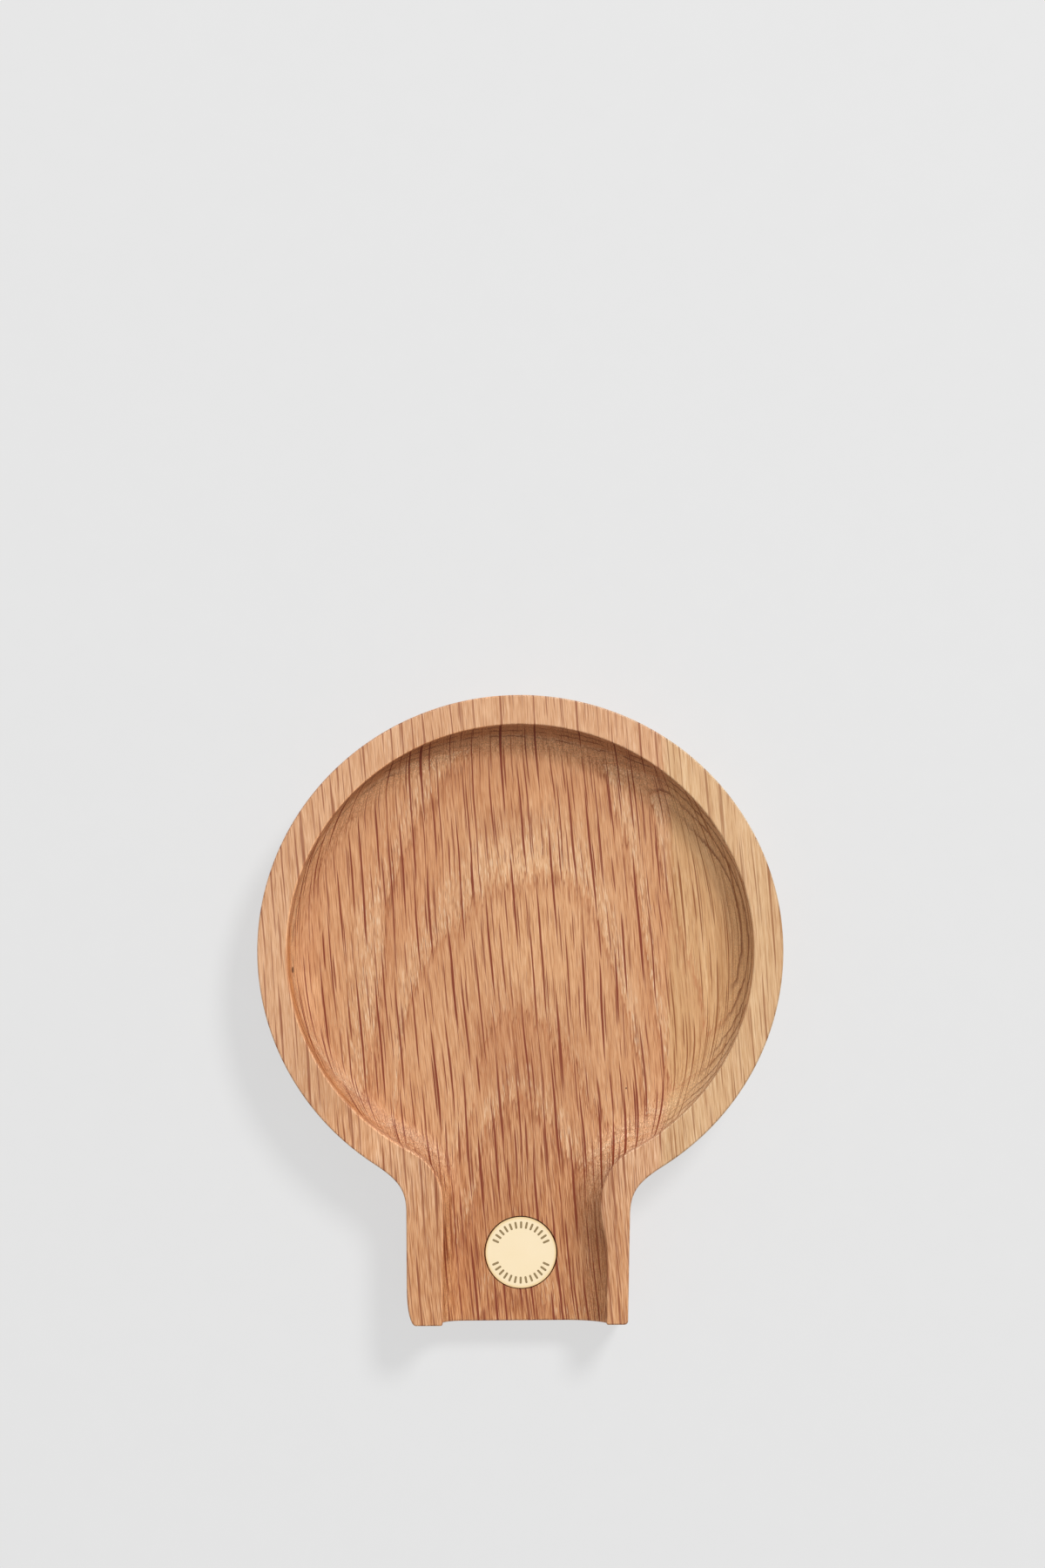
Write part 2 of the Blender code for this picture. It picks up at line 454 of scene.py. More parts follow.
# Rays: the tree's rays are cut across here, and show as dark spindles that lie along the grain.
# They stand in columns side by side, one after another in each column. A ray stands off its
# column's middle by up to this share of the spacing, and its half length is a share of the run.
RAY_SIDE_SHARE = 0.28
RAY_SHORTEST_SHARE = 0.25
RAY_LONGER_SHARE = 0.24
RAY_NARROWEST_SHARE = 0.5
RAY_TAPER = 2.6
# Its edge fades over this softness in mm, between these two shares of it.
RAY_SOFTNESS = 0.08
RAY_EDGE = (-0.6, 1.0)
# The rays of neighbouring columns don't line up: a column is moved by up to this many runs.
COLUMN_SLIP = 9.0

rays, given, out = new_group(
    "ray_spindles",
    (
        ("Across", 0), ("Along", 0), ("Spacing", 3), ("Run", 26),
        ("Half Width", 0.3), ("Softness", 0.15), ("Seed", 0),
    ),
    ("Mark", "Chance"),
)
column = reckon(rays, "DIVIDE", given.outputs["Across"], given.outputs["Spacing"])
column_number = reckon(rays, "FLOOR", column)
column_luck = add_node(rays, "TexWhiteNoise", noise_dimensions="1D")
feed(rays, column_luck.inputs["W"], reckon(rays, "ADD", column_number, given.outputs["Seed"]))
row = reckon(rays, "DIVIDE", given.outputs["Along"], given.outputs["Run"])
row = reckon(rays, "MULTIPLY_ADD", column_luck.outputs["Value"], COLUMN_SLIP, row)
row_number = reckon(rays, "FLOOR", row)
ray_luck = add_node(rays, "TexWhiteNoise", noise_dimensions="3D")
feed(rays, ray_luck.inputs["Vector"], join(rays, column_number, row_number, given.outputs["Seed"]))
luck = add_node(rays, "SeparateColor")
feed(rays, luck.inputs[0], ray_luck.outputs["Color"])
beside = reckon(rays, "SUBTRACT", reckon(rays, "SUBTRACT", column, column_number), 0.5)
beside = reckon(rays, "SUBTRACT", beside, swing(rays, luck.outputs["Red"], RAY_SIDE_SHARE))
beside = reckon(rays, "ABSOLUTE", reckon(rays, "MULTIPLY", beside, given.outputs["Spacing"]))
along = reckon(rays, "SUBTRACT", reckon(rays, "SUBTRACT", row, row_number), 0.5)
half_length = reckon(rays, "MULTIPLY_ADD", luck.outputs["Green"], RAY_LONGER_SHARE, RAY_SHORTEST_SHARE)
along = reckon(rays, "ABSOLUTE", reckon(rays, "DIVIDE", along, half_length))
taper = reckon(rays, "SUBTRACT", 1.0, reckon(rays, "POWER", along, RAY_TAPER))
half_width = reckon(
    rays, "MULTIPLY_ADD", luck.outputs["Blue"], 1 - RAY_NARROWEST_SHARE, RAY_NARROWEST_SHARE
)
half_width = reckon(rays, "MULTIPLY", half_width, given.outputs["Half Width"])
inside = reckon(rays, "SUBTRACT", reckon(rays, "MULTIPLY", half_width, taper), beside)
inside = reckon(rays, "DIVIDE", inside, given.outputs["Softness"])
feed(rays, out.inputs["Mark"], fade(rays, inside, *RAY_EDGE))
feed(rays, out.inputs["Chance"], ray_luck.outputs["Value"])


def ray_layer(tree, across, along, spacing, run, half_width, seed):
    """One layer of rays: its marks, and a chance from 0 to 1 for each ray."""
    made = add_node(tree, "Group", node_tree=rays)
    values = {
        "Across": across, "Along": along, "Spacing": spacing, "Run": run,
        "Half Width": half_width, "Softness": RAY_SOFTNESS, "Seed": seed,
    }
    for label, value in values.items():
        feed(tree, made.inputs[label], value)
    return made.outputs["Mark"], made.outputs["Chance"]


# Places in the oak, all in mm. The board lay this far under the pith, whose line crosses above
# the rest at this x, and the grain runs at a small slant to the rest's length.
PITH_DISTANCE = 140
PITH_X = 5
GRAIN_SLANT = math.tan(math.radians(5))
# Here and below, a pair of places runs from where a change starts to where it is complete. The
# rim starts at this height, and the neck at this y.
RIM_SPAN = (17.0, 17.6)
NECK_SPAN = (-18, -34)
# On the side walls the lines of the grain turn towards the middle of the board, by this much
# for each mm above the floor.
WALL_TURN = 1.2
RIGHT_WALL_SPAN = (20, 38)
LEFT_WALL_SPAN = (-30, -46)

# The wood's clouds: the size of a lump across the grain, along it and through the board in mm,
# the seed, and for most of them the detail.
WAVE = ((22, 60, 1), 3.1)
WAVE_REACH = 1.5
STREAK = ((0.23, 13, 0.5), 1.7, 3.0)
SPECKLE = ((0.14, 3.6, 0.14), 12.7, 1.0)
LONG_STREAK = ((0.85, 90, 1.2), 18.4, 2.0)
BROAD_STREAK = ((1.1, 46, 2.2), 4.9, 2.0)
PATCH = ((16, 38, 16), 7.7, 2.0)

oiled_oak, tree, shader = new_finish("oiled_oak")
place = place_in_mm(tree)
sides = add_node(tree, "SeparateXYZ")
feed(tree, sides.inputs[0], place)
x, y, z = sides.outputs

from_pith = reckon(tree, "SUBTRACT", x, PITH_X)
depth = reckon(tree, "SUBTRACT", BOARD_TOP / MM, z)
spread = reckon(tree, "DIVIDE", PITH_DISTANCE, reckon(tree, "ADD", PITH_DISTANCE, depth))
fanned = reckon(tree, "MULTIPLY", from_pith, spread)
wave = swing(tree, cloud(tree, join(tree, fanned, y, 0.0), *WAVE), WAVE_REACH)
across = reckon(tree, "ADD", reckon(tree, "MULTIPLY_ADD", y, GRAIN_SLANT, fanned), wave)
above_floor = reckon(tree, "SUBTRACT", z, FLOOR_HEIGHT / MM)
rim = fade(tree, z, *RIM_SPAN)
neck = fade(tree, y, *NECK_SPAN)
by_walls = reckon(
    tree, "SUBTRACT", fade(tree, from_pith, *RIGHT_WALL_SPAN), fade(tree, from_pith, *LEFT_WALL_SPAN)
)
turned_in = product(tree, by_walls, opposite(tree, rim), above_floor)
across = reckon(tree, "MULTIPLY_ADD", turned_in, WALL_TURN, across)
along_grain = join(tree, across, y, z)

streak = cloud(tree, along_grain, *STREAK)
speckle = cloud(tree, along_grain, *SPECKLE)
long_streak = cloud(tree, along_grain, *LONG_STREAK)
broad_streak = cloud(tree, along_grain, *BROAD_STREAK)
patch = cloud(tree, place, *PATCH)


def curve(tree, value, points):
    """A smooth curve through these points; they start at 0 and rise all the way."""
    made = add_node(tree, "FloatCurve")
    line = made.mapping.curves[0]
    far, high = points[-1]
    for point_x, point_y in points[1:-1]:
        line.points.new(point_x / far, point_y / high)
    made.mapping.update()
    feed(tree, made.inputs["Value"], reckon(tree, "DIVIDE", value, far))
    return reckon(tree, "MULTIPLY", made.outputs["Value"], high)


def left_of(tree, value):
    """The distance to the left of 0, and 0 on the right."""
    return reckon(tree, "MAXIMUM", reckon(tree, "MULTIPLY", value, -1.0), 0.0)


def right_of(tree, value):
    return reckon(tree, "MAXIMUM", value, 0.0)


# The year rings meet the face at a low slope, so each one shows as a long arch. These curves
# give how far an arch has dropped at each distance beside its middle, all in mm.
ARCH_LEFT = (
    (0, 0), (8.2, 2.4), (15.6, 7), (20, 11.5), (25, 18.5), (28.1, 24),
    (31.8, 32.5), (36.2, 45), (40.2, 53), (60, 88),
)
ARCH_RIGHT = (
    (0, 0), (5, 0.8), (11.5, 8), (16, 21), (20, 33), (24.2, 54), (28.6, 80), (36, 100), (60, 250),
)
# The left ends of the outer arches run almost straight down the board.
STRAIGHT_FROM = 25
STRAIGHT_SHARE = 0.8
STRAIGHT_SPAN = (30, 37)
# Below the middle of the bowl the arches draw together into narrow points.
POINT_LEFT = ((0, 0), (4, 3), (8, 9), (9.5, 20), (14, 34), (60, 90))
POINT_RIGHT = ((0, 0), (5, 5), (11, 12), (16, 22), (22, 30), (60, 80))
POINT_LIMIT = 14
# On the steep walls the rings lie close together, and waver less finely.
STEEP_SPAN = (0.3, 2)
RING_SLOPE = 0.055
RINGS_CLOSE_FROM = 0.6
RING_DRIFT = ((9, 24, 9), 5.3)
RING_DRIFT_REACH = 3.5
RING_TEETH = ((0.36, 7, 0.36), 8.9)
RING_TEETH_REACH = 9.0
RING_TEETH_LOST = 0.75
WALL_WAVER = ((2.0, 4, 2.0), 61.3)
WALL_WAVER_REACH = 7
# The heights on the arches' middle line where each year begins, and how pale its early wood is.
YEARS = ((-100, 0.5), (-62, 0.5), (-20, 0.8), (2, 0.3), (32, 1.0), (69, 1.0), (108, 1.0), (160, 0.0))

steep = product(tree, fade(tree, above_floor, *STEEP_SPAN), opposite(tree, rim))
flat = opposite(tree, steep)
left_side = left_of(tree, from_pith)
arch = reckon(
    tree, "ADD", curve(tree, left_side, ARCH_LEFT), curve(tree, right_of(tree, from_pith), ARCH_RIGHT)
)
below = reckon(tree, "MAXIMUM", reckon(tree, "SUBTRACT", STRAIGHT_FROM, y), 0.0)
straight = reckon(tree, "MULTIPLY", fade(tree, left_side, *STRAIGHT_SPAN), STRAIGHT_SHARE)
ring = reckon(tree, "MULTIPLY_ADD", below, straight, reckon(tree, "ADD", y, arch))
pointed = reckon(
    tree, "ADD", curve(tree, left_of(tree, x), POINT_LEFT), curve(tree, right_of(tree, x), POINT_RIGHT)
)
pointed = reckon(tree, "MINIMUM", reckon(tree, "ADD", y, pointed), POINT_LIMIT)
ring = reckon(tree, "MAXIMUM", ring, pointed)
ring = reckon(tree, "ADD", ring, swing(tree, cloud(tree, place, *RING_DRIFT), RING_DRIFT_REACH))
teeth = swing(tree, cloud(tree, place, *RING_TEETH), RING_TEETH_REACH)
ring = reckon(tree, "ADD", ring, held_back(tree, teeth, steep, RING_TEETH_LOST))
waver = swing(tree, cloud(tree, place, *WALL_WAVER), WALL_WAVER_REACH)
ring = reckon(tree, "MULTIPLY_ADD", waver, steep, ring)
lift = reckon(tree, "MAXIMUM", reckon(tree, "SUBTRACT", above_floor, RINGS_CLOSE_FROM), 0.0)
ring = reckon(tree, "MULTIPLY_ADD", lift, -1 / RING_SLOPE, ring)

# How much of its year has passed at each place, from 0 to 1, and how pale that year is.
year = 0.0
paleness = 0.0
for (start, pale), (next_start, _) in zip(YEARS, YEARS[1:]):
    share = reckon(tree, "DIVIDE", reckon(tree, "SUBTRACT", ring, start), next_start - start)
    from_middle = reckon(tree, "ABSOLUTE", reckon(tree, "SUBTRACT", share, 0.5))
    inside = reckon(tree, "LESS_THAN", from_middle, 0.5)
    year = reckon(tree, "MULTIPLY_ADD", share, inside, year)
    paleness = reckon(tree, "MULTIPLY_ADD", inside, pale, paleness)

# Sapwood runs down the right of the board, with a ragged edge.
SAP_SPAN = (26.6, 28.6)
SAP_RAGGED = 1.6
SAP_SHARE = 0.8

sap = fade(tree, reckon(tree, "ADD", fanned, swing(tree, streak, SAP_RAGGED)), *SAP_SPAN)

# Early wood is pale and porous, and is broken into dashes. It is weaker in the sapwood, on the
# rim and on the steep walls. It rises and falls at these shares of its year.
EARLY_RISE = (0.0, 0.05)
EARLY_FALL = (0.10, 0.50)
EARLY_LOST_IN_SAP = 0.8
EARLY_LOST_ON_RIM = 0.75
EARLY_LOST_ON_WALL = 0.4
PALE_DASH = ((0.13, 2.2, 0.13), 15.1, 1.0)
PALE_DASH_SPAN = (0.45, 0.58)
PALE_DASH_SHARE = 0.75

early = held_back(tree, opposite(tree, fade(tree, year, *EARLY_FALL)), sap, EARLY_LOST_IN_SAP)
early = product(tree, early, fade(tree, year, *EARLY_RISE), paleness)
early = held_back(tree, early, rim, EARLY_LOST_ON_RIM)
early = held_back(tree, early, steep, EARLY_LOST_ON_WALL)
pale_dash = fade(tree, cloud(tree, along_grain, *PALE_DASH), *PALE_DASH_SPAN)
dashed = held_back(tree, early, opposite(tree, pale_dash), PALE_DASH_SHARE)

# Late wood darkens towards the end of its year, in two steps, and then stops short.
LATE_SPAN = (0.55, 0.85)
LATE_SHARE = 0.25
LATEST_SPAN = (0.82, 0.97)
LATEST_SHARE = 0.65
YEAR_STOP = (1.0, 0.99)
DARK_DASH = ((0.55, 3.5, 0.55), 33.3, 1.0)
DARK_DASH_SPAN = (0.44, 0.56)
DARK_DASH_SHARE = 0.5

late = reckon(tree, "MULTIPLY", fade(tree, year, *LATE_SPAN), LATE_SHARE)
late = reckon(tree, "MULTIPLY_ADD", fade(tree, year, *LATEST_SPAN), LATEST_SHARE, late)
dark_dash = fade(tree, cloud(tree, along_grain, *DARK_DASH), *DARK_DASH_SPAN)
dark_line = held_back(tree, late, opposite(tree, dark_dash), DARK_DASH_SHARE)
year_stop = fade(tree, year, *YEAR_STOP)
dark_line = reckon(tree, "MULTIPLY", dark_line, year_stop)

# A thin broken line closes each year on the flat faces.
YEAR_END_SPAN = (0.87, 0.97)
EDGE_DASH = ((0.38, 4, 0.38), 51.7, 1.0)
EDGE_DASH_SPAN = (0.46, 0.60)

edge_dash = fade(tree, cloud(tree, along_grain, *EDGE_DASH), *EDGE_DASH_SPAN)
edge_line = product(tree, fade(tree, year, *YEAR_END_SPAN), year_stop, edge_dash, flat)

# On the steep walls each year is this high on the arches' scale, and ends in a dark line. The
# lines come and go, but hold on the right, and they keep clear of the floor.
WALL_YEAR = 21
WALL_LINE_SPAN = (0.60, 0.93)
WALL_LINE_STOP = (1.0, 0.96)
WALL_LINE_SHARE = 0.85
WALL_GAPS = ((4, 6, 4), 71.9, 1.0)
WALL_GAPS_SPAN = (0.40, 0.60)
NO_GAPS_SPAN = (30, 42)
WALL_FOOT_SPAN = (0.6, 3.0)
WALL_FOOT_TILT = 0.05

wall_year = reckon(tree, "FRACT", reckon(tree, "DIVIDE", ring, WALL_YEAR))
wall_line = fade(tree, wall_year, *WALL_LINE_SPAN)
wall_stop = fade(tree, wall_year, *WALL_LINE_STOP)
unbroken = fade(tree, cloud(tree, place, *WALL_GAPS), *WALL_GAPS_SPAN)
unbroken = reckon(tree, "MAXIMUM", unbroken, fade(tree, x, *NO_GAPS_SPAN))
above_foot = fade(tree, reckon(tree, "MULTIPLY_ADD", y, WALL_FOOT_TILT, above_floor), *WALL_FOOT_SPAN)
wall_line = product(tree, wall_line, wall_stop, unbroken, steep, above_foot, WALL_LINE_SHARE)

# Pores: short cells along the grain, of this size in mm and with this seed. By chance some are
# pale, some dark and some don't show, and they show most in the early wood.
PORE = ((0.22, 3.0, 0.22), 2.0)
PORE_SPAN = (0.42, 0.22)
PALE_PORE_CHANCE = (0.5, 0.6)
DARK_PORE_CHANCE = (0.42, 0.3)
PORE_SHARE = 0.15
EARLY_PORE_SHARE = 0.8

pore_size, pore_seed = PORE
pore_place = add_node(tree, "VectorMath", operation="MULTIPLY_ADD")
feed(tree, pore_place.inputs[0], along_grain)
pore_place.inputs[1].default_value = [1 / side for side in pore_size]
pore_place.inputs[2].default_value = shift(pore_seed)
pores = add_node(tree, "TexVoronoi", voronoi_dimensions="3D")
feed(tree, pores.inputs["Vector"], pore_place.outputs["Vector"])
pores.inputs["Scale"].default_value = 1.0
pore_luck = add_node(tree, "SeparateColor")
feed(tree, pore_luck.inputs[0], pores.outputs["Color"])
pore = fade(tree, pores.outputs["Distance"], *PORE_SPAN)
pore_share = reckon(tree, "MULTIPLY_ADD", early, EARLY_PORE_SHARE, PORE_SHARE)
shown_pore = reckon(tree, "MULTIPLY", pore, pore_share)
pale_pore = reckon(tree, "MULTIPLY", shown_pore, fade(tree, pore_luck.outputs["Red"], *PALE_PORE_CHANCE))
dark_pore = reckon(tree, "MULTIPLY", shown_pore, fade(tree, pore_luck.outputs["Red"], *DARK_PORE_CHANCE))

# The oak's colours.
LATEWOOD = (0.686, 0.374, 0.199, 1)
EARLYWOOD = (0.770, 0.485, 0.295, 1)
SAPWOOD = (0.690, 0.435, 0.225, 1)
HEARTWOOD = (0.520, 0.215, 0.095, 1)
YEAR_END = (0.360, 0.140, 0.060, 1)
WALL_LINE = (0.230, 0.085, 0.035, 1)
PALE_PORE = (0.940, 0.730, 0.530, 1)
DARK_PORE = (0.380, 0.170, 0.085, 1)
RAY = (0.215, 0.036, 0.010, 1)
PALE_RAY = (0.300, 0.110, 0.035, 1)

# Where the board's tone drifts: each patch's centre and reach in mm, and its cast. A patch fades
# out between these shares of its reach, with a streaky edge.
TONES = (
    ((4, 22), (15, 24), (1.08, 1.13, 1.15, 1)),
    ((-26, 30), (13, 26), (0.95, 0.88, 0.84, 1)),
    ((-3, -9), (10, 16), (0.86, 0.77, 0.72, 1)),
    ((9, -16), (13, 14), (0.92, 0.87, 0.84, 1)),
    ((-3, 43), (10, 5), (0.88, 0.83, 0.80, 1)),
    ((-48, 3), (3, 6), (1.15, 1.25, 1.33, 1)),
    ((-42, -12), (12, 24), (0.93, 0.90, 0.86, 1)),
    # Along the channel's right wall, where its shade falls, this patch is partly painted shade.
    ((17, -52), (6, 24), (0.90, 0.92, 0.97, 1)),
    ((-38, -29), (14, 9), (1.07, 1.04, 1.00, 1)),
    ((0, 53), (34, 9), (0.98, 0.93, 0.89, 1)),
    ((31, 12), (5, 34), (0.98, 0.95, 0.92, 1)),
    ((1, -52), (24, 24), (0.87, 0.82, 0.80, 1)),
    ((0, -64), (70, 32), (0.95, 0.86, 0.75, 1)),
)
TONE_SPAN = (1.15, 0.35)
TONE_RAGGED = 0.5


def oval_distance(tree, centre, reach):
    """How far off the centre a place lies on the plan, squared: 1 at this reach."""
    beside = reckon(tree, "DIVIDE", reckon(tree, "SUBTRACT", x, centre[0]), reach[0])
    along = reckon(tree, "DIVIDE", reckon(tree, "SUBTRACT", y, centre[1]), reach[1])
    return reckon(tree, "MULTIPLY_ADD", beside, beside, reckon(tree, "MULTIPLY", along, along))


colour = tint(tree, dashed, LATEWOOD, EARLYWOOD)
colour = tint(tree, reckon(tree, "MULTIPLY", sap, SAP_SHARE), colour, SAPWOOD)
ragged = swing(tree, broad_streak, TONE_RAGGED)
for centre, reach, cast in TONES:
    away = reckon(tree, "ADD", reckon(tree, "SQRT", oval_distance(tree, centre, reach)), ragged)
    colour = tint(tree, fade(tree, away, *TONE_SPAN), colour, cast, "MULTIPLY")

# The years' dark lines are stronger in the lower half, and weak on the walls and the rim.
DARK_SHARE = 0.70
DARKER_BELOW = 0.20
BELOW_SPAN = (12, -4)
DARK_LOST_ON_WALL = 0.6
DARK_LOST_ON_RIM = 0.7
EDGE_SHARE = 0.8
EDGE_LOST_ON_RIM = 0.7
EDGE_LOST_IN_SAP = 0.8

dark_share = reckon(tree, "MULTIPLY_ADD", fade(tree, y, *BELOW_SPAN), DARKER_BELOW, DARK_SHARE)
dark_share = held_back(tree, dark_share, steep, DARK_LOST_ON_WALL)
dark_share = held_back(tree, dark_share, rim, DARK_LOST_ON_RIM)
colour = tint(tree, reckon(tree, "MULTIPLY", dark_line, dark_share), colour, HEARTWOOD)
edge_share = reckon(tree, "MULTIPLY_ADD", rim, -EDGE_LOST_ON_RIM, EDGE_SHARE)
edge_share = held_back(tree, edge_share, product(tree, sap, flat), EDGE_LOST_IN_SAP)
colour = tint(tree, reckon(tree, "MULTIPLY", edge_line, edge_share), colour, YEAR_END)
colour = tint(tree, wall_line, colour, WALL_LINE)

# Fine streaks lighten and darken the wood by these shares. The sapwood, and in part the rim, is
# more even, but has long streaks of its own, and the neck is livelier.
STREAK_SHARE = 0.50
SPECKLE_SHARE = 0.55
BROAD_SHARE = 0.12
PATCH_SHARE = 0.07
LONG_SHARE = 0.36
EVEN_ON_RIM = 0.3
STREAKS_LOST = 0.40
LIVELIER_NECK = 0.60
# A darker streak is also redder: red changes less than blue.
STREAK_POWERS = (0.7, 1.1, 1.5)

even = reckon(tree, "MAXIMUM", sap, reckon(tree, "MULTIPLY", rim, EVEN_ON_RIM))
streaks = reckon(tree, "ADD", swing(tree, streak, STREAK_SHARE), swing(tree, speckle, SPECKLE_SHARE))
streaks = held_back(tree, streaks, neck, -LIVELIER_NECK)
streaks = held_back(tree, streaks, even, STREAKS_LOST)
streaks = reckon(tree, "ADD", streaks, swing(tree, broad_streak, BROAD_SHARE))
streaks = reckon(tree, "ADD", streaks, swing(tree, patch, PATCH_SHARE))
streaks = reckon(tree, "MULTIPLY_ADD", swing(tree, long_streak, LONG_SHARE), even, streaks)
shade = reckon(tree, "ADD", streaks, 1.0)
shade = join(tree, *[reckon(tree, "POWER", shade, power) for power in STREAK_POWERS])
colour = tint(tree, 1.0, colour, shade, "MULTIPLY")
colour = tint(tree, pale_pore, colour, PALE_PORE)
colour = tint(tree, dark_pore, colour, DARK_PORE)

# Three layers of rays: the spacing, run and half width in mm, how much wider on the neck, the
# seed, how dark each ray always is, how much darker on the neck, and how much more by chance.
RAY_LAYERS = (
    (2.9, 36, 0.28, 0.03, 11.3, 0.94, 0.00, 0.06),
    (2.4, 18, 0.21, 0.03, 27.9, 0.68, 0.00, 0.32),
    (0.8, 8, 0.13, 0.00, 43.1, 0.10, 0.30, 0.60),
)
PALER_RAYS_ON_RIM = 0.25
RAYS_LOST_ON_RIM = 0.28

paler = reckon(tree, "MAXIMUM", sap, reckon(tree, "MULTIPLY", rim, PALER_RAYS_ON_RIM))
ray_colour = tint(tree, paler, RAY, PALE_RAY)
ray_marks = []
for spacing, run, half_width, wider, seed, always, darker, by_chance in RAY_LAYERS:
    half_width = reckon(tree, "MULTIPLY_ADD", neck, wider, half_width)
    mark, chance = ray_layer(tree, across, y, spacing, run, half_width, seed)
    always = reckon(tree, "MULTIPLY_ADD", neck, darker, always)
    ray_share = reckon(tree, "MULTIPLY", mark, reckon(tree, "MULTIPLY_ADD", chance, by_chance, always))
    colour = tint(tree, held_back(tree, ray_share, rim, RAYS_LOST_ON_RIM), colour, ray_colour)
    ray_marks.append(mark)

# Pin knots: centre and reach in mm.
PIN_KNOTS = (
    ((-52.4, 8.7), (0.22, 0.80)),
    ((24.7, -18.1), (0.20, 0.24)),
)
KNOT = (0.090, 0.030, 0.015, 1)
KNOT_SPAN = (1.3, 0.4)
KNOT_SHARE = 0.85

for centre, reach in PIN_KNOTS:
    knot = fade(tree, oval_distance(tree, centre, reach), *KNOT_SPAN)
    colour = tint(tree, reckon(tree, "MULTIPLY", knot, KNOT_SHARE), colour, KNOT)

# How the oil changed the wood's colour, and where light and shade are painted into it. Below a
# height the wood is painted darker and warmer than the rim: in the recess this is partly the oil it
# took up and partly painted shade that spreads down into the bowl. Its lower left wall, more
# orange, took up the most oil.
RECESS_OIL_AND_SHADE = (0.93, 0.85, 0.75, 1)
RECESS_HEIGHT = (15.5, 12.0)
SOAKED = (1.04, 0.90, 0.70, 1)
SOAKED_HEIGHT = (10.5, 13)
SOAKED_X = (-30, -42)
SOAKED_Y = (24, 12)
# The top of the recess's wall, round its upper half and on its left, is painted paler: painted
# light.
WALL_TOP_LIGHT = (1.17, 1.17, 1.16, 1)
WALL_TOP_LIGHT_HEIGHT = (13.5, 16.0)
WALL_TOP_LIGHT_Y = (-20, 0)
WALL_TOP_LIGHT_X = (-8, -16)
# The recess's left edge is painted paler, a painted highlight, and the outer right edge is painted
# darker, painted shade that damps its highlight.
LEFT_EDGE_HIGHLIGHT = (1.22, 1.20, 1.14, 1)
LEFT_EDGE_HIGHLIGHT_HEIGHT = (17.3, 17.6)
LEFT_EDGE_HIGHLIGHT_WAY = (-4, -15)
LEFT_EDGE_HIGHLIGHT_X = (0, -8)
OUTER_EDGE_SHADE = (0.84, 0.84, 0.84, 1)
OUTER_EDGE_SHADE_HEIGHT = (17.1, 17.5)
OUTER_EDGE_SHADE_WAY = (6, 18)
OUTER_EDGE_SHADE_X = (-15, 5)
# End grain takes the oil in another way than the face: the cove's near side is paler, and its near
# left a little duller. The cove's far side, which faces away from the lamps, is painted darker:
# painted shade.
FAR_WALL_SHADE = (0.69, 0.57, 0.48, 1)
FAR_FACING = (-0.4, -0.8)
FAR_Y = (20, 50)
NEAR_END_GRAIN = (1.07, 1.20, 1.37, 1)
NEAR_FACING = (0.1, 0.5)
NEAR_X = (-8, 12)
LEFT_END_GRAIN = (0.86, 0.88, 0.96, 1)
NEAR_LEFT_X = (-8, -20)


def where(tree, *places):
    """A mask that is 1 where each of these values is past its span."""
    return product(tree, *[fade(tree, value, *span) for value, span in places])


facing = add_node(tree, "SeparateXYZ")
feed(tree, facing.inputs[0], add_node(tree, "NewGeometry").outputs["Normal"])
facing_x, facing_y, _ = facing.outputs
# Which way an edge faces: above 0 on the outer edge, and below 0 on the recess's edge.
outward = reckon(tree, "MULTIPLY", facing_y, reckon(tree, "SUBTRACT", y, HEAD_CENTRE_Y / MM))
outward = reckon(tree, "MULTIPLY_ADD", facing_x, x, outward)

# Painted light: the paler top of the recess's wall.
wall_top_light = reckon(tree, "MAXIMUM", fade(tree, y, *WALL_TOP_LIGHT_Y), fade(tree, x, *WALL_TOP_LIGHT_X))
wall_top_light = product(tree, fade(tree, z, *WALL_TOP_LIGHT_HEIGHT), opposite(tree, rim), wall_top_light)
soaked = product(tree, steep, where(tree, (z, SOAKED_HEIGHT), (x, SOAKED_X), (y, SOAKED_Y)))
# Of these casts, the recess's darkening is partly painted shade. The paler wall tops and the left edge's
# paling are painted light, and the outer edge's and the far wall's darkening are painted shade.
for mask, cast in (
    (fade(tree, z, *RECESS_HEIGHT), RECESS_OIL_AND_SHADE),
    (wall_top_light, WALL_TOP_LIGHT),
    (soaked, SOAKED),
    (where(tree, (z, LEFT_EDGE_HIGHLIGHT_HEIGHT), (outward, LEFT_EDGE_HIGHLIGHT_WAY), (x, LEFT_EDGE_HIGHLIGHT_X)), LEFT_EDGE_HIGHLIGHT),
    (where(tree, (z, OUTER_EDGE_SHADE_HEIGHT), (outward, OUTER_EDGE_SHADE_WAY), (x, OUTER_EDGE_SHADE_X)), OUTER_EDGE_SHADE),
    (where(tree, (facing_y, FAR_FACING), (y, FAR_Y)), FAR_WALL_SHADE),
    (where(tree, (facing_y, NEAR_FACING), (x, NEAR_X)), NEAR_END_GRAIN),
    (where(tree, (facing_y, NEAR_FACING), (x, NEAR_LEFT_X)), LEFT_END_GRAIN),
):
    colour = tint(tree, mask, colour, cast, "MULTIPLY")

# End grain and the steep walls are stippled by cut pores.
STIPPLE = ((0.22, 0.36, 0.22), 21.3, 2.0)
STIPPLE_SHARE = 0.80
END_GRAIN_SPAN = (0.08, 0.45)
STIPPLE_ON_WALL = 0.7

